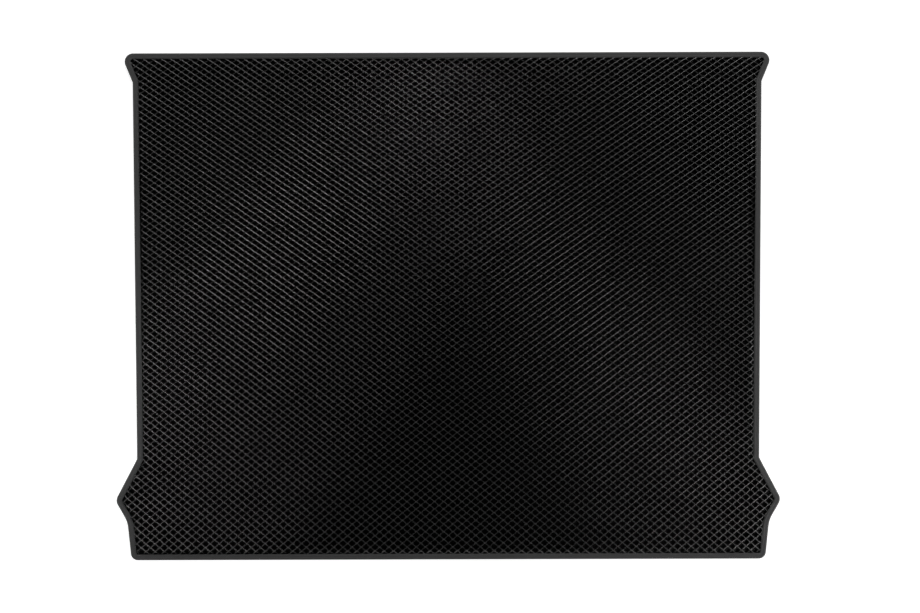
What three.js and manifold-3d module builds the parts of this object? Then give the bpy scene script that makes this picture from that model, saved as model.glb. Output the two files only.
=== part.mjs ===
// Boot liner of a passenger car, lying flat with its cells up.
//
// One foam sheet is moulded with open diamond cells on its upper side and cut to the plan of the boot
// floor. A woven tape is folded round its whole rim and squeezes the foam flat under its two legs.
//
// X runs across the car, +Y towards the rear seats, +Z up. The origin is in the middle of the underside.
// All sizes are in millimetres.

import * as THREE from 'three';
import { mergeVertices } from 'three/addons/utils/BufferGeometryUtils.js';
import Module from 'manifold-3d';

// Plan: one side, walked from the seat edge to the tailgate edge, with corners given before rounding
const SIDE_HALF_WIDTH = 502.4; // half the width at the notch behind the seat corner
const SEAT_CORNER_REACH = 19.4; // how far the seat corner stands out past the notch
const SEAT_CORNER_LENGTH = 46.9;
const SEAT_CORNER_RADIUS = 13.5;
const SIDE_LENGTH = 601.3; // straight side between the notch and the ear
const SIDE_TAPER = 5.4; // half width lost along that side
const EAR_REACH = 34.9; // how far the ear stands out behind the wheel arch
const EAR_FLANK_LENGTH = 66.5;
const EAR_TIP_RADIUS = 14;
const EAR_RETURN = 19.2; // half width lost behind the ear's tip
const EAR_RETURN_LENGTH = 33.6;
const EAR_FOOT_RADIUS = 45;
const TAIL_TAPER = 6.5;
const TAIL_LENGTH = 61.7;
const TAIL_CORNER_RADIUS = 11.5;

// Moulded sheet
const SHEET_THICKNESS = 10;
const BASE_THICKNESS = 3.5; // solid foam under the cells
const CELL_WIDTH = 14.6; // diagonal of a cell along X
const CELL_LENGTH = 10.6; // diagonal of a cell along Y
const WALL_ROOT = 3; // thickness of a cell wall where it meets the floor
const WALLS_DRAWN_EVERY = 4; // of the cell walls in each direction, every fourth one is modelled
const RAMP_RUN = 4.5; // width of the slope from the squeezed rim up to the full thickness
const SQUEEZED_WIDTH = 3; // strip of flattened cells beside the tape

// Edge binding
const TAPE_WIDTH = 9.2; // width of each leg of the folded tape
const TAPE_THICKNESS = 1;
const BINDING_HEIGHT = 7;
const FOLD_RADIUS = 2.2; // outer radius of the tape's two folds
const CLEARANCE = 0.3; // between tape and foam

// Fineness of the curves
const CORNER_STEP = THREE.MathUtils.degToRad(12); // turn of one chord of a rounded corner
const FOLD_STEPS = 2; // chords of one fold of the tape
const LEAST_RADIUS = 0.5; // left of a rounded corner where the inset is larger than its radius
const MERGE_DISTANCE = 1e-4; // points closer than this are one

const CELL_CORNERS = [[1, 0], [0, 1], [-1, 0], [0, -1]]; // in half widths and half lengths of a cell

const FOAM = { color: '#111113', roughness: 0.6, metalness: 0 };
const TAPE = { color: '#3a3a3b', roughness: 0.9, metalness: 0 };

const wasm = await Module();
wasm.setup();

/** Corners of one side from seat edge to tailgate edge, each with its rounding radius. */
function sideCorners() {
  const length = SEAT_CORNER_LENGTH + SIDE_LENGTH + EAR_FLANK_LENGTH + EAR_RETURN_LENGTH + TAIL_LENGTH;
  const steps = [
    [SEAT_CORNER_REACH, 0, SEAT_CORNER_RADIUS],
    [-SEAT_CORNER_REACH, SEAT_CORNER_LENGTH, 0],
    [-SIDE_TAPER, SIDE_LENGTH, 0],
    [EAR_REACH, EAR_FLANK_LENGTH, EAR_TIP_RADIUS],
    [-EAR_RETURN, EAR_RETURN_LENGTH, EAR_FOOT_RADIUS],
    [-TAIL_TAPER, TAIL_LENGTH, TAIL_CORNER_RADIUS],
  ];
  const at = new THREE.Vector2(SIDE_HALF_WIDTH, length / 2);
  return steps.map(([across, along, radius]) => {
    at.x += across;
    at.y -= along;
    return { x: at.x, y: at.y, radius };
  });
}

/** All corners of the plan, anticlockwise seen from above, starting at the tailgate edge's right end. */
function planCorners() {
  const right = sideCorners().reverse();
  const left = sideCorners().map((corner) => ({ ...corner, x: -corner.x }));
  return [...right, ...left];
}

/** Unit vector along an edge from one corner to the next. */
function direction(from, to) {
  return new THREE.Vector2(to.x - from.x, to.y - from.y).normalize();
}

/** Where a corner moves when both of its edges move inwards by the inset. */
function insetCorner(corner, before, after, inset) {
  const inwards = new THREE.Vector2(-before.y - after.y, before.x + after.x);
  const share = inset / (1 + before.dot(after));
  return new THREE.Vector2(corner.x, corner.y).addScaledVector(inwards, share);
}

/** Points of one corner of the plan, inset and rounded. Every inset gives the same number of points. */
function cornerPoints(corner, before, after, inset) {
  const tip = insetCorner(corner, before, after, inset);
  if (corner.radius === 0) return [tip];
  const turn = Math.atan2(before.cross(after), before.dot(after));
  const side = Math.sign(turn);
  const radius = Math.max(corner.radius - side * inset, LEAST_RADIUS);
  const start = tip.clone().addScaledVector(before, -radius * Math.tan(Math.abs(turn) / 2));
  const centre = start.clone().add(new THREE.Vector2(-before.y, before.x).multiplyScalar(side * radius));
  const chords = Math.max(2, Math.round(Math.abs(turn) / CORNER_STEP));
  return Array.from({ length: chords + 1 }, (_, i) => {
    return start.clone().rotateAround(centre, (turn * i) / chords);
  });
}

/** The plan moved inwards by an inset, as a closed loop of points, anticlockwise. */
function planLoop(inset) {
  const corners = planCorners();
  const count = corners.length;
  return corners.flatMap((corner, i) => {
    const before = direction(corners[(i + count - 1) % count], corner);
    const after = direction(corner, corners[(i + 1) % count]);
    return cornerPoints(corner, before, after, inset);
  });
}

/** One ring of points for each [inset, height] of a section. */
function sectionRings(section) {
  return section.map(([inset, height]) => {
    return planLoop(inset).map((point) => new THREE.Vector3(point.x, point.y, height));
  });
}

/** A mesh geometry of bare triangles, three points each, with shared points merged. */
function trianglesToGeometry(points) {
  const flat = points.flatMap((point) => [point.x, point.y, point.z]);
  const geometry = new THREE.BufferGeometry();
  geometry.setAttribute('position', new THREE.Float32BufferAttribute(flat, 3));
  return mergeVertices(geometry, MERGE_DISTANCE);
}

/** Triangles of the band between two rings, facing out when the upper ring comes second. */
function bandTriangles(lower, upper) {
  return lower.flatMap((point, i) => {
    const next = (i + 1) % lower.length;
    return [point, lower[next], upper[next], point, upper[next], upper[i]];
  });
}

/** Triangles that close a ring, facing up, or down where reversed. */
function capTriangles(ring, reversed) {
  const outline = ring.map((point) => new THREE.Vector2(point.x, point.y));
  const faces = THREE.ShapeUtils.triangulateShape(outline, []);
  return faces.flatMap(([a, b, c]) => (reversed ? [ring[c], ring[b], ring[a]] : [ring[a], ring[b], ring[c]]));
}

/** A strip that runs round the whole plan with a closed section. */
function loopGeometry(section) {
  const rings = sectionRings(section);
  const bands = rings.flatMap((ring, i) => bandTriangles(ring, rings[(i + 1) % rings.length]));
  return trianglesToGeometry(bands);
}

/** A plate over the whole plan, whose edge follows a section from its underside up. */
function plateGeometry(section) {
  const rings = sectionRings(section);
  const bands = rings.slice(1).flatMap((ring, i) => bandTriangles(rings[i], ring));
  return trianglesToGeometry([...capTriangles(rings[0], true), ...bands, ...capTriangles(rings.at(-1), false)]);
}

/** Quarter fold of the tape's section about a centre, from one angle to the next, as [inset, height]. */
function foldArc(centre, radius, from) {
  return Array.from({ length: FOLD_STEPS + 1 }, (_, i) => {
    const angle = from + ((Math.PI / 2) * i) / FOLD_STEPS;
    return [centre[0] - radius * Math.sin(angle), centre[1] - radius * Math.cos(angle)];
  });
}

/** The tape's outer face, or a face parallel to it further in, from the lower leg's end to the upper's. */
function foldedSection(depth, legEnd) {
  const radius = FOLD_RADIUS - depth;
  const lower = foldArc([FOLD_RADIUS, FOLD_RADIUS], radius, 0);
  const upper = foldArc([FOLD_RADIUS, BINDING_HEIGHT - FOLD_RADIUS], radius, Math.PI / 2);
  return [[legEnd, depth], ...lower, ...upper, [legEnd, BINDING_HEIGHT - depth]];
}

/** Woven tape folded round the rim. */
function bindingGeometry() {
  const outer = foldedSection(0, TAPE_WIDTH);
  const inner = foldedSection(TAPE_THICKNESS, TAPE_WIDTH);
  return loopGeometry([...outer, ...inner.reverse()]);
}

/** The rim of the sheet as the tape squeezes it, reaching in under the first cells. */
function rimGeometry() {
  return loopGeometry(foldedSection(TAPE_THICKNESS + CLEARANCE, TAPE_WIDTH + CLEARANCE + SQUEEZED_WIDTH));
}

/** The body inside the tape: upright where the tape ends, then a slope up past the full thickness. */
function bodyGeometry() {
  const edge = TAPE_WIDTH + CLEARANCE;
  const rimTop = BINDING_HEIGHT - TAPE_THICKNESS - CLEARANCE;
  const rise = SHEET_THICKNESS - rimTop;
  return plateGeometry([
    [edge, 0],
    [edge, rimTop],
    [edge + 2 * RAMP_RUN, rimTop + 2 * rise],
  ]);
}

/** The four corners of a cell at one height, anticlockwise from its right end. */
function cellRing(centre, halfWidth, halfLength, height) {
  return CELL_CORNERS.map(([x, y]) => {
    return new THREE.Vector3(centre.x + x * halfWidth, centre.y + y * halfLength, height);
  });
}

/** Two triangles that close a ring of four points. */
function quadTriangles([a, b, c, d]) {
  return [a, b, c, a, c, d];
}

/** The inside of one cell: its four walls from the crests down, and its floor. */
function cellTriangles(centre, halfWidth, halfLength) {
  const centreToWall = (halfWidth * halfLength) / Math.hypot(halfWidth, halfLength);
  const floorShare = 1 - WALL_ROOT / 2 / centreToWall;
  const crest = cellRing(centre, halfWidth, halfLength, SHEET_THICKNESS);
  const floor = cellRing(centre, halfWidth * floorShare, halfLength * floorShare, BASE_THICKNESS);
  return [...bandTriangles(crest, floor), ...quadTriangles(floor)];
}

/** The block under one cell: its foot, and its sides where the step to the next cell leaves the block. */
function blockTriangles(centre, halfWidth, halfLength, leavesBlock) {
  const crest = cellRing(centre, halfWidth, halfLength, SHEET_THICKNESS);
  const foot = cellRing(centre, halfWidth, halfLength, -SHEET_THICKNESS);
  const sides = CELL_CORNERS.flatMap(([x, y], i) => {
    const next = (i + 1) % CELL_CORNERS.length;
    const [nextX, nextY] = CELL_CORNERS[next];
    return leavesBlock(x + nextX, y + nextY) ? quadTriangles([foot[i], foot[next], crest[next], crest[i]]) : [];
  });
  return [...quadTriangles(foot.toReversed()), ...sides];
}

/** A block larger than the plan, with the diamond cells in its upper side. */
function cellBlockGeometry() {
  const halfWidth = (WALLS_DRAWN_EVERY * CELL_WIDTH) / 2;
  const halfLength = (WALLS_DRAWN_EVERY * CELL_LENGTH) / 2;
  const reach = new THREE.Box2().setFromPoints(planLoop(0)).max;
  const columns = Math.ceil(reach.x / halfWidth) + 1;
  const rows = Math.ceil(reach.y / halfLength) + 1;
  const triangles = [];
  for (let column = -columns; column <= columns; column += 1) {
    for (let row = -rows; row <= rows; row += 1) {
      if ((column + row) % 2 === 0) continue;
      const centre = new THREE.Vector2(column * halfWidth, row * halfLength);
      const leavesBlock = (x, y) => Math.abs(column + x) > columns || Math.abs(row + y) > rows;
      triangles.push(...cellTriangles(centre, halfWidth, halfLength));
      triangles.push(...blockTriangles(centre, halfWidth, halfLength, leavesBlock));
    }
  }
  return trianglesToGeometry(triangles);
}

/** A closed geometry as a solid that can be cut and joined. */
function toSolid(geometry) {
  const mesh = new wasm.Mesh({
    numProp: 3,
    vertProperties: new Float32Array(geometry.attributes.position.array),
    triVerts: new Uint32Array(geometry.index.array),
  });
  return new wasm.Manifold(mesh);
}

/** A solid as a geometry with flat faces. */
function toGeometry(solid) {
  const mesh = solid.getMesh();
  const geometry = new THREE.BufferGeometry();
  geometry.setAttribute('position', new THREE.BufferAttribute(mesh.vertProperties, 3));
  geometry.setIndex(new THREE.BufferAttribute(mesh.triVerts, 1));
  return geometry;
}

/** The moulded sheet, cut to the plan, with its squeezed rim. */
function sheetGeometry() {
  const body = toSolid(bodyGeometry()).intersect(toSolid(cellBlockGeometry()));
  return toGeometry(body.add(toSolid(rimGeometry())));
}

/** A named mesh with its own material. */
function piece(name, geometry, finish) {
  const mesh = new THREE.Mesh(geometry, new THREE.MeshStandardMaterial(finish));
  mesh.name = name;
  return mesh;
}

const bootLiner = new THREE.Group();
bootLiner.add(piece('liner_sheet', sheetGeometry(), FOAM));
bootLiner.add(piece('edge_binding', bindingGeometry(), TAPE));

export default bootLiner;
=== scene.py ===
"""Boot liner of a passenger car, lying flat with its cells up, seen from above on a white studio floor.

The foam sheet is one moulding with open diamond cells, cut to the plan of the boot floor. A woven tape is
folded round its rim and sewn through with a lockstitch: a needle thread on top, a bobbin thread underneath.
All lengths are in metres. X runs across the car, +Y towards the rear seats, +Z up.
"""

import logging
import math
from dataclasses import dataclass, field
from enum import Enum
from typing import Any

import bmesh
import bpy
import numpy as np
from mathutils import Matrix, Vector


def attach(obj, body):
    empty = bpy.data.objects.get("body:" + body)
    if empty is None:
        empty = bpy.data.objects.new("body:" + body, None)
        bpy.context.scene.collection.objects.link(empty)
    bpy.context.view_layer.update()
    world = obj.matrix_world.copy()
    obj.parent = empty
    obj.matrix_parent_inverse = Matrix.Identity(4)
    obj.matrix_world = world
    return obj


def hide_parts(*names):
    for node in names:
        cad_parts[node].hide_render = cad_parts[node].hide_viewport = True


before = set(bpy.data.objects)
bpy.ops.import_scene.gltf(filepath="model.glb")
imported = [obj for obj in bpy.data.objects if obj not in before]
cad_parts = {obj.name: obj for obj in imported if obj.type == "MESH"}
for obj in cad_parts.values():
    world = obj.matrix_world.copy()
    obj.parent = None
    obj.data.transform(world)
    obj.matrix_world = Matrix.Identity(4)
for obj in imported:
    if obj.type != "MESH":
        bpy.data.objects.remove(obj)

LOG = logging.getLogger("boot_liner")
MM = 0.001
# The sheet's rim is hidden in the tape, so its outline needs fewer points than the tape's.
SHEET_STATION_STEP = 10 * MM
BODY = "root"


# Helpers for colours, nodes and meshes


def linear(colour: str) -> tuple[float, float, float, float]:
    """Turns an sRGB hex colour into linear RGBA.

    Args:
        colour: Six hex digits with a leading #.

    Returns:
        Linear red, green, blue and an alpha of 1.
    """
    parts = [int(colour[i : i + 2], 16) / 255 for i in (1, 3, 5)]
    curve = [p / 12.92 if p <= 0.04045 else ((p + 0.055) / 1.055) ** 2.4 for p in parts]
    return (curve[0], curve[1], curve[2], 1.0)


def add_node(
    tree: bpy.types.NodeTree, kind: str, inputs: dict[str | int, Any] | None = None, **settings: Any
) -> bpy.types.Node:
    """Adds one node, sets its properties, and fills or links its inputs.

    Args:
        tree: Node tree that gets the node.
        kind: Blender's type name of the node.
        inputs: For each input, by name or number, a value or the output socket that it is linked to.
        **settings: Properties of the node.

    Returns:
        The new node.
    """
    node = tree.nodes.new(kind)
    for name, value in settings.items():
        setattr(node, name, value)
    for name, value in (inputs or {}).items():
        if isinstance(value, bpy.types.NodeSocket):
            tree.links.new(value, node.inputs[name])
        else:
            node.inputs[name].default_value = value
    return node


def new_material(name: str) -> tuple[bpy.types.Material, bpy.types.NodeTree]:
    """Makes an empty node material.

    Args:
        name: Name of the real material.

    Returns:
        The material and its node tree.
    """
    material = bpy.data.materials.new(name)
    material.use_nodes = True
    material.node_tree.nodes.clear()
    return material, material.node_tree


def new_piece(
    name: str,
    points: np.ndarray,
    faces: list[np.ndarray],
    smooth: list[bool],
    normals: list[np.ndarray | None] | None = None,
) -> bpy.types.Object:
    """Puts computed points and faces into a mesh object that sits at the origin.

    Args:
        name: Name of the piece.
        points: Vertex positions, one row each.
        faces: Arrays of faces, each with a fixed number of corners.
        smooth: For each of those arrays, whether its faces are shaded smooth.
        normals: For each of those arrays, the normal at each corner, or None for Blender's own.

    Returns:
        The new object, linked to the scene.
    """
    sizes = np.concatenate([np.full(len(part), part.shape[1]) for part in faces])
    corners = np.concatenate([part.ravel() for part in faces])
    shade = np.concatenate([np.full(len(part), is_round) for part, is_round in zip(faces, smooth)])
    mesh = bpy.data.meshes.new(name)
    mesh.vertices.add(len(points))
    mesh.vertices.foreach_set("co", points.astype(np.float32).ravel())
    mesh.loops.add(len(corners))
    mesh.loops.foreach_set("vertex_index", corners.astype(np.int32))
    mesh.polygons.add(len(sizes))
    mesh.polygons.foreach_set("loop_start", np.concatenate([[0], np.cumsum(sizes)[:-1]]).astype(np.int32))
    mesh.polygons.foreach_set("use_smooth", shade)
    mesh.update(calc_edges=True)
    if normals is not None:
        own = [
            np.zeros((part.size, 3)) if given is None else given.reshape(-1, 3)
            for part, given in zip(faces, normals)
        ]
        mesh.normals_split_custom_set(np.concatenate(own).tolist())
    piece = bpy.data.objects.new(name, mesh)
    bpy.context.scene.collection.objects.link(piece)
    return piece


def unit(vectors: np.ndarray) -> np.ndarray:
    """Vectors divided by their own lengths."""
    return vectors / np.linalg.norm(vectors, axis=-1, keepdims=True)


def fill_between(points: np.ndarray, edges: np.ndarray) -> np.ndarray:
    """Fills the flat region that closed rows of edges bound.

    Args:
        points: Points at one height.
        edges: Pairs of point numbers that bound the region.

    Returns:
        Triangles that face down.
    """
    work = bmesh.new()
    vertices = [work.verts.new(point) for point in points.tolist()]
    bounds = [work.edges.new((vertices[first], vertices[second])) for first, second in edges.tolist()]
    work.verts.index_update()
    bmesh.ops.triangle_fill(work, use_beauty=True, edges=bounds, normal=Vector((0, 0, -1)))
    triangles = np.array([[vertex.index for vertex in face.verts] for face in work.faces])
    work.free()
    sides = points[triangles[:, 1:]] - points[triangles[:, :1]]
    areas = sides[:, 0, 0] * sides[:, 1, 1] - sides[:, 0, 1] * sides[:, 1, 0]
    return triangles[:, ::-1] if areas.sum() > 0 else triangles


# Plan of the boot floor


@dataclass
class PlanPath:
    """The outline as a closed row of points, anticlockwise, with the way inwards at each of them."""

    points: np.ndarray
    inward: np.ndarray
    travel: np.ndarray
    length: float

    def ring(self, inset: float) -> np.ndarray:
        """Outline moved inwards: each point plus the inset times its way inwards."""
        return self.points + inset * self.inward

    def at(self, travel: np.ndarray) -> tuple[np.ndarray, np.ndarray]:
        """Finds points by the distance travelled along the outline.

        Args:
            travel: Distances from the first point.

        Returns:
            The points and the ways inwards there, each interpolated between the two nearest rows.
        """
        along = np.append(self.travel, self.length)
        rows = np.hstack([self.points, self.inward])
        both = np.vstack([rows, rows[:1]])
        found = np.stack([np.interp(travel % self.length, along, column) for column in both.T], axis=-1)
        return found[..., :2], found[..., 2:]


def nearest_on_ring(points: np.ndarray, ring: np.ndarray) -> tuple[np.ndarray, np.ndarray]:
    """Measures points against a closed ring.

    For each side of the ring, the foot of the point on that side is the side's start plus the share of the
    side, clipped to 0 and 1, that the projection gives; the nearest of those feet is taken. A point is inside
    where a line from it towards +X crosses an odd number of sides.

    Args:
        points: Points to measure, one row each.
        ring: Corners of the ring in order.

    Returns:
        The nearest point of the ring for each point, and its distance, above 0 inside the ring.
    """
    start, end = ring, np.roll(ring, -1, axis=0)
    side = end - start
    offset = points[:, None, :] - start[None, :, :]
    share = np.clip((offset * side).sum(-1) / (side * side).sum(-1), 0, 1)
    feet = start[None, :, :] + share[..., None] * side
    gaps = np.linalg.norm(points[:, None, :] - feet, axis=-1)
    best = gaps.argmin(axis=1)
    rows = np.arange(len(points))
    above = (start[None, :, 1] > points[:, 1:]) != (end[None, :, 1] > points[:, 1:])
    slope = side[:, 0] / np.where(side[:, 1] == 0, 1, side[:, 1])
    crosses = above & (points[:, :1] < start[:, 0] + (points[:, 1:] - start[:, 1]) * slope)
    inside = crosses.sum(axis=1) % 2 == 1
    return feet[rows, best], np.where(inside, 1, -1) * gaps[rows, best]


@dataclass
class BootPlan:
    """Plan of the liner: one side walked from the seat edge to the tailgate edge, corners before rounding."""

    side_half_width: float = 502.4 * MM
    seat_corner_reach: float = 19.4 * MM
    seat_corner_length: float = 46.9 * MM
    seat_corner_radius: float = 13.5 * MM
    side_length: float = 601.3 * MM
    side_taper: float = 5.4 * MM
    ear_reach: float = 34.9 * MM
    ear_flank_length: float = 66.5 * MM
    ear_tip_radius: float = 14 * MM
    ear_return: float = 19.2 * MM
    ear_return_length: float = 33.6 * MM
    ear_foot_radius: float = 45 * MM
    tail_taper: float = 6.5 * MM
    tail_length: float = 61.7 * MM
    tail_corner_radius: float = 11.5 * MM
    station_step: float = 1.35 * MM
    fewest_chords: int = 6

    def side_corners(self) -> np.ndarray:
        """Works out the corners of the right side.

        Returns:
            One row for each corner from the seat edge back: x, y and rounding radius.
        """
        steps = np.array([
            [self.seat_corner_reach, 0, self.seat_corner_radius],
            [-self.seat_corner_reach, -self.seat_corner_length, 0],
            [-self.side_taper, -self.side_length, 0],
            [self.ear_reach, -self.ear_flank_length, self.ear_tip_radius],
            [-self.ear_return, -self.ear_return_length, self.ear_foot_radius],
            [-self.tail_taper, -self.tail_length, self.tail_corner_radius],
        ])
        start = np.array([self.side_half_width, -steps[:, 1].sum() / 2])
        return np.column_stack([start + np.cumsum(steps[:, :2], axis=0), steps[:, 2]])

    def corner(
        self, before: np.ndarray, corner: np.ndarray, after: np.ndarray
    ) -> tuple[np.ndarray, np.ndarray]:
        """Rounds one corner of the plan.

        The arc touches both edges. Its points are the centre minus the radius, with the sign of the turn,
        times the way inwards, which turns evenly from one edge's normal to the other's. A sharp corner is
        one point, whose way inwards is the mitre: the sum of both normals over one plus their product.

        Args:
            before: The corner before it.
            corner: x, y and rounding radius.
            after: The corner after it.

        Returns:
            The points, and the way inwards at each.
        """
        into, out = corner[:2] - before[:2], after[:2] - corner[:2]
        angles = np.unwrap([math.atan2(into[1], into[0]), math.atan2(out[1], out[0])])
        normals = np.column_stack([-np.sin(angles), np.cos(angles)])
        mitre = normals.sum(axis=0) / (1 + normals[0] @ normals[1])
        radius = corner[2]
        if radius == 0:
            return corner[None, :2], mitre[None, :]
        turn = angles[1] - angles[0]
        chords = max(self.fewest_chords, round(abs(turn) * radius / self.station_step))
        sweep = np.linspace(angles[0], angles[1], chords + 1)
        inward = np.column_stack([-np.sin(sweep), np.cos(sweep)])
        centre = corner[:2] + np.sign(turn) * radius * mitre
        return centre - np.sign(turn) * radius * inward, inward

    def path(self) -> PlanPath:
        """Walks the whole outline, with a point every step along its straight stretches.

        Returns:
            The outline.
        """
        right = self.side_corners()
        corners = np.vstack([right[::-1], right * [-1, 1, 1]])
        before, after = np.roll(corners, 1, axis=0), np.roll(corners, -1, axis=0)
        arcs = [self.corner(*three) for three in zip(before, corners, after)]
        points, inward = [], []
        for (arc, ways), (next_arc, _) in zip(arcs, arcs[1:] + arcs[:1]):
            straight = next_arc[0] - arc[-1]
            count = max(1, round(np.linalg.norm(straight) / self.station_step))
            shares = np.arange(1, count)[:, None] / count
            normal = np.array([-straight[1], straight[0]]) / np.linalg.norm(straight)
            points += [arc, arc[-1] + shares * straight]
            inward += [ways, np.repeat(normal[None, :], count - 1, axis=0)]
        all_points = np.vstack(points)
        sides = np.linalg.norm(np.roll(all_points, -1, axis=0) - all_points, axis=1)
        travel = np.concatenate([[0], np.cumsum(sides)[:-1]])
        return PlanPath(all_points, np.vstack(inward), travel, float(sides.sum()))


# Finishes


@dataclass(frozen=True)
class MouldedFoam:
    """Closed-cell EVA foam, moulded in a steel tool: a near-black skin with a soft sheen and a fine grain.

    The IOR is above the 1.5 of plain foam. It isn't measured: it was raised to bring the glints nearer to the
    photograph's brightness beside the tape. The grain is drawn coarser than such a tool's usually is.
    """

    # The pits' darker colour is painted shade in the cells. The crests' paler colour is partly rubbed wear
    # and partly painted light.
    pit_painted_shade_colour: str = "#050505"
    crest_wear_and_light_colour: str = "#080808"
    roughness: tuple[float, float] = (0.18, 0.25)
    ior: float = 1.7
    grain: float = 0.8 * MM
    mottle: float = 25 * MM
    grain_depth: float = 0.006 * MM
    # Heights over which the colour turns from the pits' painted shade to the crests' paler colour.
    shade_and_wear_from: float = 8.8 * MM
    shade_and_wear_to: float = 9.9 * MM

    def material(self) -> bpy.types.Material:
        """Builds the foam: crests partly rubbed paler, partly lit by painted light; pits darkened by painted
        shade.

        Returns:
            The material.
        """
        material, tree = new_material("moulded_eva_foam")
        place = add_node(tree, "ShaderNodeTexCoord").outputs["Object"]
        height = add_node(tree, "ShaderNodeSeparateXYZ", {"Vector": place}).outputs["Z"]
        # Painted light and shade: the colour turns paler towards the crests' height and stays darkest in the
        # pits.
        wear_and_painted_light = add_node(
            tree,
            "ShaderNodeMapRange",
            {"Value": height, "From Min": self.shade_and_wear_from, "From Max": self.shade_and_wear_to},
            interpolation_type="SMOOTHSTEP",
        )
        mottle = add_node(
            tree, "ShaderNodeTexNoise", {"Vector": place, "Scale": 1 / self.mottle, "Detail": 4.0}
        )
        grain = add_node(
            tree, "ShaderNodeTexNoise", {"Vector": place, "Scale": 1 / self.grain, "Detail": 2.0}
        )
        colour = add_node(
            tree,
            "ShaderNodeMix",
            {0: wear_and_painted_light.outputs["Result"], 6: linear(self.pit_painted_shade_colour), 7: linear(self.crest_wear_and_light_colour)},
            data_type="RGBA",
        )
        roughness = add_node(
            tree,
            "ShaderNodeMapRange",
            {"Value": mottle.outputs["Fac"], "To Min": self.roughness[0], "To Max": self.roughness[1]},
        )
        bump = add_node(
            tree,
            "ShaderNodeBump",
            {"Height": grain.outputs["Fac"], "Strength": 1.0, "Distance": self.grain_depth},
        )
        shader = add_node(
            tree,
            "ShaderNodeBsdfPrincipled",
            {
                "Base Color": colour.outputs[2],
                "Roughness": roughness.outputs["Result"],
                "IOR": self.ior,
                "Normal": bump.outputs["Normal"],
            },
        )
        add_node(tree, "ShaderNodeOutputMaterial", {"Surface": shader.outputs["BSDF"]})
        return material


@dataclass(frozen=True)
class WovenTape:
    """Polyester binding tape, woven as a fine twill: matt dark grey with slanted ribs.

    The ribs are drawn a little coarser than such a tape's usually are, so that they show.
    """

    colour: str = "#3c3c3c"
    shadow_colour: str = "#303030"
    roughness: float = 0.85
    ior: float = 1.5
    sheen: float = 0.15
    rib: float = 1.3 * MM
    rib_depth: float = 0.12 * MM
    rib_turn: float = math.radians(45)
    rib_waver: float = 0.4
    fibre: float = 0.65 * MM

    def material(self) -> bpy.types.Material:
        """Builds the tape: a slanted twill broken up by its fibres, both from the UV map.

        Returns:
            The material.
        """
        material, tree = new_material("woven_polyester_tape")
        place = add_node(tree, "ShaderNodeUVMap", uv_map="UVMap").outputs["UV"]
        turned = add_node(
            tree, "ShaderNodeMapping", {"Vector": place, "Rotation": (0.0, 0.0, self.rib_turn)}
        ).outputs["Vector"]
        ribs = add_node(
            tree,
            "ShaderNodeTexWave",
            {
                "Vector": turned,
                "Scale": 1 / (self.rib * math.tau),
                "Distortion": self.rib_waver,
                "Detail": 1.0,
            },
            wave_type="BANDS",
            bands_direction="X",
        )
        fibres = add_node(
            tree, "ShaderNodeTexNoise", {"Vector": place, "Scale": 1 / self.fibre, "Detail": 3.0}
        )
        height = add_node(
            tree,
            "ShaderNodeMath",
            {0: ribs.outputs["Fac"], 1: fibres.outputs["Fac"]},
            operation="MULTIPLY",
        ).outputs["Value"]
        colour = add_node(
            tree,
            "ShaderNodeMix",
            {0: height, 6: linear(self.shadow_colour), 7: linear(self.colour)},
            data_type="RGBA",
        )
        bump = add_node(
            tree, "ShaderNodeBump", {"Height": height, "Strength": 1.0, "Distance": self.rib_depth}
        )
        shader = add_node(
            tree,
            "ShaderNodeBsdfPrincipled",
            {
                "Base Color": colour.outputs[2],
                "Roughness": self.roughness,
                "IOR": self.ior,
                "Sheen Weight": self.sheen,
                "Normal": bump.outputs["Normal"],
            },
        )
        add_node(tree, "ShaderNodeOutputMaterial", {"Surface": shader.outputs["BSDF"]})
        return material


@dataclass(frozen=True)
class SewingThread:
    """Three-ply polyester thread: dark grey, with its plies twisted round each other."""

    colour: str = "#343434"
    shadow_colour: str = "#202020"
    roughness: float = 0.6
    ior: float = 1.5
    ply: float = 0.8 * MM
    ply_depth: float = 0.05 * MM
    ply_waver: float = 0.2

    def material(self) -> bpy.types.Material:
        """Builds the thread from diagonal bands, one for each ply.

        Returns:
            The material.
        """
        material, tree = new_material("twisted_polyester_thread")
        place = add_node(tree, "ShaderNodeTexCoord").outputs["Object"]
        plies = add_node(
            tree,
            "ShaderNodeTexWave",
            {"Vector": place, "Scale": 1 / (self.ply * math.tau), "Distortion": self.ply_waver},
            wave_type="BANDS",
            bands_direction="DIAGONAL",
        )
        colour = add_node(
            tree,
            "ShaderNodeMix",
            {0: plies.outputs["Fac"], 6: linear(self.shadow_colour), 7: linear(self.colour)},
            data_type="RGBA",
        )
        bump = add_node(
            tree,
            "ShaderNodeBump",
            {"Height": plies.outputs["Fac"], "Strength": 1.0, "Distance": self.ply_depth},
        )
        shader = add_node(
            tree,
            "ShaderNodeBsdfPrincipled",
            {
                "Base Color": colour.outputs[2],
                "Roughness": self.roughness,
                "IOR": self.ior,
                "Normal": bump.outputs["Normal"],
            },
        )
        add_node(tree, "ShaderNodeOutputMaterial", {"Surface": shader.outputs["BSDF"]})
        return material


# Foam sheet


# A cell's points: its shoulders by corner, then its roots in the same order, then its middle.
CELL_CORNERS = np.array([[1, 0], [0, 1], [-1, 0], [0, -1]])
EAST, NORTH, WEST, SOUTH = range(4)
ROOTS, MIDDLE, CELL_POINTS = 4, 8, 9
UP = np.array([0.0, 0.0, 1.0])


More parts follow.
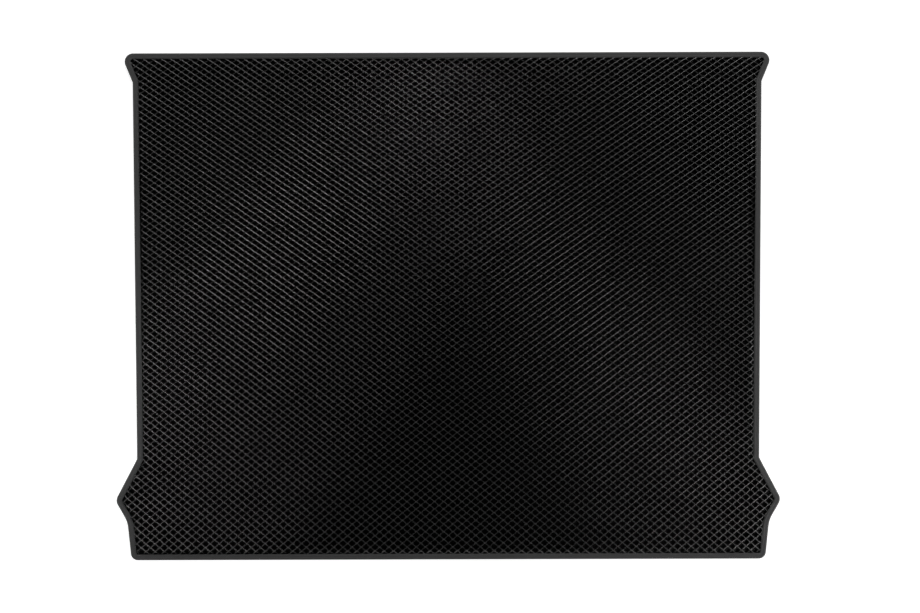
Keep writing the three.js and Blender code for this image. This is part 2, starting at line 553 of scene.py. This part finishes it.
@dataclass
class FoamSheet:
    """The moulded sheet with all its diamond cells, and its rim squeezed under the tape."""

    plan: PlanPath
    finish: MouldedFoam = field(default_factory=MouldedFoam)
    thickness: float = 10 * MM
    base: float = 3.5 * MM
    cell_width: float = 14.6 * MM
    cell_length: float = 10.6 * MM
    row_growth: float = 0.083
    crest_width: float = 0.8 * MM
    corner_fillet: float = 0.4 * MM
    crest_tilt: float = math.radians(58)
    root_width: float = 3.0 * MM
    floor_crown: float = 0.6 * MM
    floor_tilt: float = math.radians(50)
    tape_edge: float = 9.5 * MM
    ramp_run: float = 3.5 * MM
    squeezed_crest: float = 5.6 * MM
    squeezed_base: float = 3.0 * MM
    rim_inset: float = 2.2 * MM
    rim_underside: float = 1.3 * MM
    hidden_inset: float = 6.6 * MM
    spare_cells: int = 3

    def rows(self, level: np.ndarray) -> np.ndarray:
        """Spaces the rows of cells from the seat edge to the tailgate edge.

        With t the share of the way from the seat edge in even rows and a the growth, a row lies at the share
        (1 - a)t + at^3 of the liner's length, so rows lie closer at the seat edge and wider at the tailgate.

        Args:
            level: Positions along the liner in even rows.

        Returns:
            Positions along the liner.
        """
        half = self.plan.points[:, 1].max()
        share = (half - level) / (2 * half)
        return half - 2 * half * ((1 - self.row_growth) * share + self.row_growth * share**3)

    def cell_points(self) -> tuple[np.ndarray, np.ndarray]:
        """Lays the cells out on the plan.

        Cell centres lie at whole numbers of half cells, where the two numbers add up to an odd one. Each cell
        has nine points: four shoulders at its crests, four roots at its floor, and its middle. Shoulder and
        root are the cell's corner times one minus half the wall over the distance from centre to wall. The
        shoulders in the two sharp corners of the cell stand back by the fillet that the moulding has there.

        Returns:
            Positions in the plan by cell and point, and the number of the cell at each place of the grid,
            or -1 where there is none.
        """
        half = np.array([self.cell_width, self.cell_length]) / 2
        count = np.ceil(np.abs(self.plan.points).max(axis=0) / half).astype(int) + self.spare_cells
        across, along = (np.arange(-most, most + 1) for most in count)
        grid = np.stack(np.meshgrid(across, along, indexing="ij"), axis=-1)
        centre_to_wall = half.prod() / np.hypot(*half)
        shoulder = 1 - self.crest_width / 2 / centre_to_wall
        root = 1 - self.root_width / 2 / centre_to_wall
        shoulders = CELL_CORNERS * (shoulder * half - [self.corner_fillet, 0])
        pattern = np.vstack([shoulders, CELL_CORNERS * root * half, [[0, 0]]])
        is_cell = grid.sum(axis=-1) % 2 == 1
        points = (grid[is_cell] * half)[:, None, :] + pattern[None, :, :]
        points[..., 1] = self.rows(points[..., 1])
        _, depth = nearest_on_ring(points[:, MIDDLE], self.plan.points)
        near = (depth > -self.cell_width) & (depth < self.cell_width)
        shown = depth >= self.cell_width
        _, reach = nearest_on_ring(points[near, :ROOTS].reshape(-1, 2), self.plan.points)
        shown[near] = reach.reshape(-1, ROOTS).max(axis=1) > self.hidden_inset
        number = np.full(grid.shape[:2], -1)
        where = np.argwhere(is_cell)[shown]
        number[where[:, 0], where[:, 1]] = np.arange(len(where))
        return points[shown], number

    def heights(self, points: np.ndarray) -> np.ndarray:
        """Squeezes the sheet towards its rim.

        A crest stands at the full thickness, and over the ramp beside the tape it sinks along a smooth step,
        3t^2 - 2t^3, to its squeezed height. The floors sink the same way. Points beyond the rim are pulled
        in to it.

        Args:
            points: Positions in the plan by cell and point.

        Returns:
            The positions with their heights.
        """
        placed = points.reshape(-1, 2).copy()
        _, depth = nearest_on_ring(points[:, MIDDLE], self.plan.points)
        near = np.repeat(depth < self.tape_edge + self.ramp_run + self.cell_width, points.shape[1])
        rim = self.plan.ring(self.rim_inset)
        feet, inside = nearest_on_ring(placed[near], rim)
        placed[near] = np.where(inside[:, None] < 0, feet, placed[near])
        inset = np.full(len(placed), self.tape_edge + self.ramp_run)
        inset[near] = np.maximum(inside, 0) + self.rim_inset
        step = np.clip((inset - self.tape_edge) / self.ramp_run, 0, 1)
        rise = (3 * step**2 - 2 * step**3).reshape(points.shape[:2])
        crest = self.squeezed_crest + (self.thickness - self.squeezed_crest) * rise
        floor = self.squeezed_base + (self.base - self.squeezed_base) * rise
        height = np.concatenate(
            [crest[:, :ROOTS], floor[:, ROOTS:MIDDLE], floor[:, MIDDLE:] + self.floor_crown], axis=1
        )
        return np.concatenate([placed.reshape(points.shape), height[..., None]], axis=-1)

    def top_faces(self, cells: np.ndarray, number: np.ndarray) -> tuple[list[np.ndarray], list[np.ndarray]]:
        """Joins the points of the cells into the upper side of the sheet.

        Each cell has four walls, numbered as the corners where they start going round anticlockwise, and a
        floor of four triangles. A strip joins each pair of cells across a wall, and a small diamond closes
        each crossing of the walls. The crests are moulded round: at a shoulder the normal leans from upright
        towards the wall's own by the crest's tilt, so it turns evenly across the crest. At a floor's edge it
        leans outwards by the floor's tilt, which is more than the low dome leans and keeps the pits dark.

        Args:
            cells: Positions by cell and point.
            number: Number of the cell at each place of the grid, or -1.

        Returns:
            Quads and triangles, and the normals at their corners.
        """
        ring = np.arange(ROOTS)
        after = (ring + 1) % ROOTS
        first = CELL_POINTS * np.arange(len(cells))
        wall_corners = np.stack([ring, after, after + ROOTS, ring + ROOTS], axis=-1)
        floor_corners = np.stack([ring + ROOTS, after + ROOTS, np.full(ROOTS, MIDDLE)], axis=-1)
        walls, floors = (own + first[:, None, None] for own in (wall_corners, floor_corners))
        wall = unit(np.cross(cells[:, after] - cells[:, ring], cells[:, ring + ROOTS] - cells[:, ring]))
        level = unit(wall * [1, 1, 0])
        crest = level * math.sin(self.crest_tilt) + UP * math.cos(self.crest_tilt)
        crossing_tip = unit((cells[:, MIDDLE:] - cells[:, :ROOTS]) * [1, 1, 0])
        tip = crossing_tip * math.sin(self.crest_tilt) + UP * math.cos(self.crest_tilt)
        brim = UP * math.cos(self.floor_tilt) - level * math.sin(self.floor_tilt)
        wall_normals = np.stack([crest, crest, wall, wall], axis=2)
        floor_normals = np.stack([brim, brim, np.broadcast_to(UP, brim.shape)], axis=2)

        here = number[1:-1, 1:-1]
        right_up, right_down = number[2:, 2:], number[2:, :-2]
        east, north, west, south = number[2:, 1:-1], number[1:-1, 2:], number[:-2, 1:-1], number[1:-1, :-2]
        up_pair, down_pair = (here >= 0) & (right_up >= 0), (here >= 0) & (right_down >= 0)
        full = (east >= 0) & (north >= 0) & (west >= 0) & (south >= 0)
        here_up, there_up = here[up_pair], right_up[up_pair]
        here_down, there_down = here[down_pair], right_down[down_pair]
        upper = np.stack(
            [
                first[here_up] + EAST,
                first[there_up] + SOUTH,
                first[there_up] + WEST,
                first[here_up] + NORTH,
            ],
            axis=-1,
        )
        lower = np.stack(
            [
                first[here_down] + SOUTH,
                first[there_down] + WEST,
                first[there_down] + NORTH,
                first[here_down] + EAST,
            ],
            axis=-1,
        )
        round_it = [east[full], north[full], west[full], south[full]]
        facing = (WEST, SOUTH, EAST, NORTH)
        crossing = np.stack([first[cell] + corner for cell, corner in zip(round_it, facing)], axis=-1)
        near_side, far_side = crest[here_up, EAST], crest[there_up, WEST]
        upper_normals = np.stack([near_side, far_side, far_side, near_side], axis=1)
        near_side, far_side = crest[here_down, SOUTH], crest[there_down, NORTH]
        lower_normals = np.stack([near_side, far_side, far_side, near_side], axis=1)
        crossing_normals = np.stack([tip[cell, corner] for cell, corner in zip(round_it, facing)], axis=1)
        quads = np.vstack([walls.reshape(-1, 4), upper, lower, crossing])
        quad_normals = np.concatenate(
            [wall_normals.reshape(-1, 4, 3), upper_normals, lower_normals, crossing_normals]
        )
        return [quads, floors.reshape(-1, 3)], [quad_normals, floor_normals.reshape(-1, 3, 3)]

    @staticmethod
    def open_edges(faces: list[np.ndarray]) -> np.ndarray:
        """Finds the edges that only one face has.

        Args:
            faces: Arrays of faces.

        Returns:
            The two ends of each such edge, in the order in which its face runs.
        """
        edges = np.vstack(
            [np.stack([part, np.roll(part, -1, axis=1)], axis=-1).reshape(-1, 2) for part in faces]
        )
        size = edges.max() + 1
        forward, backward = edges[:, 0] * size + edges[:, 1], edges[:, 1] * size + edges[:, 0]
        return edges[~np.isin(forward, backward)]

    def build(self) -> bpy.types.Object:
        """Makes the sheet as one closed mesh.

        The open edges of the upper side are carried straight down to the rim's underside. A flat strip runs
        from there in to the step beside the tape's lower leg, and the foot closes the step.

        Returns:
            The piece.
        """
        plan_points, number = self.cell_points()
        cells = self.heights(plan_points)
        top = cells.reshape(-1, 3)
        faces, normals = self.top_faces(cells, number)
        edges = self.open_edges(faces)
        rim, local = np.unique(edges, return_inverse=True)
        local = local.reshape(edges.shape)
        low = np.column_stack([top[rim, :2], np.full(len(rim), self.rim_underside)])
        sides = np.stack([edges[:, 1], edges[:, 0], local[:, 0] + len(top), local[:, 1] + len(top)], axis=-1)
        ring = self.plan.ring(self.tape_edge)
        upper_step = np.column_stack([ring, np.full(len(ring), self.rim_underside)])
        lower_step = np.column_stack([ring, np.zeros(len(ring))])
        here, after = np.arange(len(ring)), (np.arange(len(ring)) + 1) % len(ring)
        strip = fill_between(
            np.vstack([low, upper_step]), np.vstack([local, np.stack([here, after], axis=-1) + len(low)])
        )
        first = len(top) + len(low)
        step = np.stack([here + len(ring), after + len(ring), after, here], axis=-1) + first
        foot = (here[::-1] + len(ring) + first)[None, :]
        piece = new_piece(
            "foam_sheet",
            np.vstack([top, low, upper_step, lower_step]),
            [*faces, sides, strip + len(top), step, foot],
            [True, True, False, False, False, False],
            [*normals, None, None, None, None],
        )
        count = 2 * len(faces[0]) + len(faces[1]) + 2 * len(sides) + len(strip) + 3 * len(step)
        LOG.info("foam_sheet: %d cells, %d triangles", len(cells), count)
        return piece

    def dress(self, piece: bpy.types.Object) -> None:
        """Gives the sheet its foam and its place in the frame.

        Args:
            piece: The sheet's object.
        """
        piece.data.materials.append(self.finish.material())
        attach(piece, BODY)
        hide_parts("liner_sheet")


# Edge binding


@dataclass
class EdgeBinding:
    """Woven tape folded round the rim, with the seam's groove along both of its legs."""

    plan: PlanPath
    finish: WovenTape = field(default_factory=WovenTape)
    width: float = 9.2 * MM
    thickness: float = 1.0 * MM
    height: float = 7.0 * MM
    fold_radius: float = 2.2 * MM
    fold_steps: int = 4
    seam_inset: float = 4.9 * MM
    seam_steps: tuple[float, ...] = (-1.6, -0.9, -0.45, 0.0, 0.45, 0.9, 1.6)
    stitch: float = 4.0 * MM
    groove_depth: float = 0.35 * MM
    groove_width: float = 0.9 * MM
    stitch_pull: float = 0.25

    def section(self) -> tuple[np.ndarray, np.ndarray, np.ndarray]:
        """Draws the closed section of the folded tape.

        It runs out along the lower leg, up round both folds, in along the upper leg, and back along the face
        on the foam. A fold is a quarter circle about a centre one fold radius in from both faces.

        Returns:
            The inset of each point, its height, and the share of the groove's depth by which it sinks,
            above 0 where that is up and below 0 where it is down.
        """
        seam = self.seam_inset - np.array(self.seam_steps) * self.groove_width
        leg = np.concatenate([[self.width], seam])
        groove = np.exp(-(((leg - self.seam_inset) / self.groove_width) ** 2))
        outer = self.face(leg, 0.0, self.fold_steps, groove)
        inner = self.face(leg[:1], self.thickness, self.fold_steps // 2, np.zeros(1))
        insets, heights, sinks = (np.concatenate([front, back[::-1]]) for front, back in zip(outer, inner))
        return insets, heights, sinks

    def face(
        self, leg: np.ndarray, depth: float, steps: int, groove: np.ndarray
    ) -> tuple[np.ndarray, np.ndarray, np.ndarray]:
        """Draws one face of the folded tape.

        Args:
            leg: Insets of the points along a leg, from its end towards the fold.
            depth: Depth of the face under the tape's outer face.
            steps: Number of chords in each fold.
            groove: Share of the groove's depth at each point of the leg.

        Returns:
            Insets, heights and shares of the groove's depth, from the end of the lower leg to that of the
            upper one.
        """
        turn = np.linspace(0, math.pi / 2, steps + 1)
        radius = self.fold_radius - depth
        inset = self.fold_radius - radius * np.sin(turn)
        low = self.fold_radius - radius * np.cos(turn)
        flat = np.full(len(leg), depth)
        none = np.zeros(2 * len(turn))
        insets = np.concatenate([leg, inset, inset[::-1], leg[::-1]])
        heights = np.concatenate([flat, low, self.height - low[::-1], self.height - flat])
        return insets, heights, np.concatenate([groove, none, -groove[::-1]])

    def build(self) -> bpy.types.Object:
        """Carries the section round the plan.

        A point lies at the outline plus its inset times the way inwards. The groove is deepest where the
        thread enters the tape: its depth swings by the stitch's pull, with a cosine of one stitch's length.

        Returns:
            The piece, with a UV map in metres along and across the tape.
        """
        insets, heights, sinks = self.section()
        stations, around = len(self.plan.points), len(insets)
        place = self.plan.points[:, None, :] + insets[None, :, None] * self.plan.inward[:, None, :]
        swing = np.cos(math.tau * self.plan.travel / self.stitch)
        pull = 1 - self.stitch_pull + self.stitch_pull * swing
        height = heights[None, :] + self.groove_depth * pull[:, None] * sinks[None, :]
        points = np.concatenate([place, height[..., None]], axis=-1).reshape(-1, 3)
        row, column = np.meshgrid(np.arange(stations), np.arange(around), indexing="ij")
        next_row, next_column = (row + 1) % stations, (column + 1) % around
        quads = np.stack(
            [
                row * around + column,
                next_row * around + column,
                next_row * around + next_column,
                row * around + next_column,
            ],
            axis=-1,
        ).reshape(-1, 4)
        piece = new_piece("edge_tape", points, [quads], [True])
        across = np.concatenate([[0], np.cumsum(np.hypot(np.diff(insets), np.diff(heights)))])
        across = np.append(across, across[-1] + self.thickness)
        along = np.append(self.plan.travel, self.plan.length)
        corners = np.stack(
            [
                np.stack([along[row], across[column]], axis=-1),
                np.stack([along[row + 1], across[column]], axis=-1),
                np.stack([along[row + 1], across[column + 1]], axis=-1),
                np.stack([along[row], across[column + 1]], axis=-1),
            ],
            axis=-2,
        )
        layer = piece.data.uv_layers.new(name="UVMap")
        layer.data.foreach_set("uv", corners.astype(np.float32).ravel())
        LOG.info("edge_tape: %.3f m long, %d faces", self.plan.length, len(quads))
        return piece

    def dress(self, piece: bpy.types.Object) -> None:
        """Gives the tape its weave and its place in the frame.

        Args:
            piece: The tape's object.
        """
        piece.data.materials.append(self.finish.material())
        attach(piece, BODY)
        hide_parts("edge_binding")


# Seam


class SeamSide(Enum):
    """The two threads of the lockstitch, by the side on which they lie."""

    NEEDLE = "needle_thread"
    BOBBIN = "bobbin_thread"


@dataclass
class Seam:
    """One thread of the lockstitch round the whole tape."""

    plan: PlanPath
    binding: EdgeBinding
    side: SeamSide
    finish: SewingThread = field(default_factory=SewingThread)
    thread_radius: float = 0.26 * MM
    stitch_share: float = 0.86
    thinnest_share: float = 0.2
    needle_bed: float = 0.2
    bobbin_bed: float = 1.05
    bobbin_bow: float = 0.5
    rings: int = 7
    sides: int = 6

    def build(self) -> bpy.types.Object:
        """Lays one short, bowed length of thread in each stitch.

        Along a stitch the share t runs from 0 to 1. The thread's radius is its full radius times the fourth
        root of 4t(1 - t), never less than its thinnest share, and its middle rises out of the groove by the
        sine of pi t.

        Returns:
            The piece.
        """
        count = round(self.plan.length / self.binding.stitch)
        pitch = self.plan.length / count
        share = np.linspace(0, 1, self.rings)
        travel = (np.arange(count)[:, None] + 0.5 + (share - 0.5) * self.stitch_share) * pitch
        place, inward = self.plan.at(travel)
        middle = place + self.binding.seam_inset * inward
        radius = self.thread_radius * np.maximum((4 * share * (1 - share)) ** 0.25, self.thinnest_share)
        angle = np.arange(self.sides) * math.tau / self.sides
        sink = self.binding.groove_depth * (np.sin(math.pi * share) - 1)
        if self.side is SeamSide.NEEDLE:
            level = self.binding.height + sink - self.needle_bed * self.thread_radius
        else:
            level = self.bobbin_bed * self.thread_radius - self.bobbin_bow * sink
        spread = inward[:, :, None, :] * (radius[None, :, None, None] * np.cos(angle)[None, None, :, None])
        plan = middle[:, :, None, :] + spread
        height = level[None, :, None] + radius[None, :, None] * np.sin(angle)[None, None, :]
        height = np.broadcast_to(height, plan.shape[:3])
        points = np.concatenate([plan, height[..., None]], axis=-1).reshape(-1, 3)
        first = np.arange(count)[:, None, None] * self.rings * self.sides
        ring, corner = np.meshgrid(np.arange(self.rings - 1), np.arange(self.sides), indexing="ij")
        after = (corner + 1) % self.sides
        around = np.stack(
            [
                ring * self.sides + corner,
                ring * self.sides + after,
                (ring + 1) * self.sides + after,
                (ring + 1) * self.sides + corner,
            ],
            axis=-1,
        ).reshape(1, -1, 4)
        rim = np.arange(self.sides)
        ends = np.stack([rim[::-1], rim + (self.rings - 1) * self.sides])
        tubes = (first + around).reshape(-1, 4)
        caps = (first + ends[None, :, :]).reshape(-1, self.sides)
        piece = new_piece(self.side.value, points, [tubes, caps], [True, True])
        LOG.info("%s: %d stitches", self.side.value, count)
        return piece

    def dress(self, piece: bpy.types.Object) -> None:
        """Gives the thread its finish and its place in the frame.

        Args:
            piece: The thread's object.
        """
        piece.data.materials.append(self.finish.material())
        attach(piece, BODY)


# Studio


@dataclass(frozen=True)
class Softbox:
    """One rectangular lamp: where it stands and points, its size, its power in watts and its grid's angle."""

    name: str
    place: tuple[float, float, float]
    target: tuple[float, float, float]
    size: tuple[float, float]
    power: float
    spread: float = 180.0

    def build(self) -> bpy.types.Object:
        """Hangs the lamp, turned towards its target.

        Returns:
            The lamp's object.
        """
        lamp = bpy.data.lights.new(self.name, "AREA")
        lamp.shape = "RECTANGLE"
        lamp.size, lamp.size_y = self.size
        lamp.energy = self.power
        lamp.spread = math.radians(self.spread)
        softbox = bpy.data.objects.new(self.name, lamp)
        softbox.location = self.place
        softbox.visible_camera = False
        aim = Vector(self.target) - Vector(self.place)
        softbox.rotation_euler = aim.to_track_quat("-Z", "Y").to_euler()
        bpy.context.scene.collection.objects.link(softbox)
        return softbox


@dataclass
class Studio:
    """White floor and backdrop, softboxes round the liner and a camera straight above it."""

    floor_size: float = 30.0
    floor_drop: float = 0.2 * MM
    floor_colour: str = "#c8c8c8"
    floor_glow: float = 0.8
    paper_roughness: float = 0.5
    backdrop_height: float = 3.2
    backdrop_sides: int = 48
    ambient: float = 0.015
    lens: float = 50.0
    sensor: float = 36.0
    picture_width: int = 920
    metres_per_pixel: float = 1.599 * MM
    outline_height: float = 3.5 * MM
    off_centre: tuple[float, float] = (12.28, -0.58)
    turn: float = -0.157

    def softboxes(self) -> list[Softbox]:
        """Lists the lamps.

        Four large ones stand far off on the four sides and light the tape all round. Small gridded ones stand
        low and close by, in line with the crests of the cells, and light them up from the sides and corners.
        A weak spot overhead reaches the floors of the cells. The powers are matched to the photograph's
        brightness.

        Returns:
            The lamps.
        """
        large, seat, small, close, spot = (1.0, 1.0), (0.3, 0.2), (0.3, 0.15), (0.2, 0.1), (0.4, 0.4)
        middle = (0.0, 0.0, 0.0)
        return [
            Softbox("left_softbox", (-2.0, 0.0, 1.1), middle, large, 11.0),
            Softbox("right_softbox", (2.0, 0.0, 1.1), middle, large, 28.0),
            Softbox("seat_softbox", (0.0, 2.0, 1.1), middle, large, 28.5),
            Softbox("tailgate_softbox", (0.0, -2.0, 1.1), middle, large, 12.5),
            Softbox("seat_grid_left", (0.04, 1.0, 0.2), (-0.38, 0.15, 0.0), seat, 0.055, 60.0),
            Softbox("seat_grid_right", (0.04, 1.0, 0.2), (0.38, 0.15, 0.0), seat, 0.03, 60.0),
            Softbox("left_grid", (-1.0, -0.7, 0.15), (-0.5, 0.0, 0.0), small, 0.14, 36.0),
            Softbox("left_close_grid", (-0.78, -0.4, 0.1), (-0.5, 0.0, 0.0), close, 0.08, 50.0),
            Softbox("left_corner_grid", (-0.95, -0.95, 0.15), (-0.5, -0.38, 0.0), small, 0.045, 25.0),
            Softbox("left_ear_grid", (-1.0, 0.25, 0.15), (-0.52, -0.42, 0.0), small, 0.07, 22.0),
            Softbox("right_grid", (1.0, -0.7, 0.15), (0.5, 0.0, 0.0), small, 0.025, 36.0),
            Softbox("right_close_grid", (0.8, -0.62, 0.1), (0.5, -0.25, 0.0), close, 0.04, 50.0),
            Softbox("right_corner_grid", (0.95, -0.95, 0.15), (0.5, -0.36, 0.0), small, 0.035, 25.0),
            Softbox("right_ear_grid", (1.0, 0.25, 0.15), (0.52, -0.42, 0.0), small, 0.07, 22.0),
            Softbox("overhead_spot", (0.55, -0.5, 2.2), (0.38, -0.22, 0.0), spot, 0.012, 20.0),
        ]

    def paper(self) -> bpy.types.Material:
        """Builds the studio's paper.

        It is matt and pale, and glows for the camera and for glossy and clear surfaces only, so it shows
        white and keeps the liner's shadow, and its glow throws no diffuse light on the liner.

        Returns:
            The material.
        """
        material, tree = new_material("matt_white_paper")
        matt = add_node(
            tree,
            "ShaderNodeBsdfDiffuse",
            {"Color": linear(self.floor_colour), "Roughness": self.paper_roughness},
        )
        path = add_node(tree, "ShaderNodeLightPath")
        seen = path.outputs["Is Camera Ray"]
        for ray in ("Is Glossy Ray", "Is Transmission Ray"):
            seen = add_node(
                tree, "ShaderNodeMath", {0: seen, 1: path.outputs[ray]}, operation="MAXIMUM"
            ).outputs["Value"]
        strength = add_node(tree, "ShaderNodeMath", {0: seen, 1: self.floor_glow}, operation="MULTIPLY")
        glow = add_node(tree, "ShaderNodeEmission", {"Strength": strength.outputs["Value"]})
        both = add_node(tree, "ShaderNodeAddShader", {0: matt.outputs["BSDF"], 1: glow.outputs["Emission"]})
        add_node(tree, "ShaderNodeOutputMaterial", {"Surface": both.outputs["Shader"]})
        return material

    def build_paper(self) -> None:
        """Lays the floor and stands the backdrop round its edge, as a low wall on a regular polygon."""
        half = self.floor_size / 2
        material = self.paper()
        turn = np.arange(self.backdrop_sides) * math.tau / self.backdrop_sides
        circle = half * np.column_stack([np.cos(turn), np.sin(turn)])
        low = np.column_stack([circle, np.full(len(circle), -self.floor_drop)])
        high = np.column_stack([circle, np.full(len(circle), self.backdrop_height)])
        here = np.arange(len(circle))
        after = (here + 1) % len(circle)
        floor = new_piece("studio_floor", low, [here[None, :]], [False])
        wall = np.stack([after, here, here + len(circle), after + len(circle)], axis=-1)
        backdrop = new_piece("studio_backdrop", np.vstack([low, high]), [wall], [False])
        for paper in (floor, backdrop):
            paper.data.materials.append(material)

    def build_world(self) -> None:
        """Surrounds the studio with a weak grey light, the same for every ray."""
        world = bpy.data.worlds.new("studio_world")
        world.use_nodes = True
        tree = world.node_tree
        tree.nodes.clear()
        grey = add_node(
            tree, "ShaderNodeBackground", {"Color": (1.0, 1.0, 1.0, 1.0), "Strength": self.ambient}
        )
        add_node(tree, "ShaderNodeOutputWorld", {"Surface": grey.outputs["Background"]})
        bpy.context.scene.world = world

    def build_camera(self) -> bpy.types.Object:
        """Sets the camera above the liner.

        Its distance is the lens over the sensor's width times the width of floor that the picture takes in.

        Returns:
            The camera.
        """
        data = bpy.data.cameras.new("camera_above")
        data.lens, data.sensor_width = self.lens, self.sensor
        camera = bpy.data.objects.new("camera_above", data)
        distance = self.lens / self.sensor * self.picture_width * self.metres_per_pixel
        across, along = self.off_centre
        camera.location = (
            across * self.metres_per_pixel,
            along * self.metres_per_pixel,
            distance + self.outline_height,
        )
        camera.rotation_euler = (0.0, 0.0, math.radians(self.turn))
        bpy.context.scene.collection.objects.link(camera)
        bpy.context.scene.camera = camera
        return camera

    def build(self) -> None:
        """Sets up floor, backdrop, world, lamps and camera."""
        bpy.context.scene.view_settings.view_transform = "Standard"
        self.build_paper()
        self.build_world()
        for softbox in self.softboxes():
            softbox.build()
        self.build_camera()


def main() -> None:
    """Builds the studio, then the liner from the sheet outwards."""
    logging.basicConfig(level=logging.INFO, format="%(name)s %(message)s")
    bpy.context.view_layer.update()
    Studio().build()
    sheet = FoamSheet(BootPlan(station_step=SHEET_STATION_STEP).path())
    sheet.dress(sheet.build())
    plan = BootPlan().path()
    binding = EdgeBinding(plan)
    binding.dress(binding.build())
    for side in SeamSide:
        seam = Seam(plan, binding, side)
        seam.dress(seam.build())


if __name__ == "__main__":
    main()
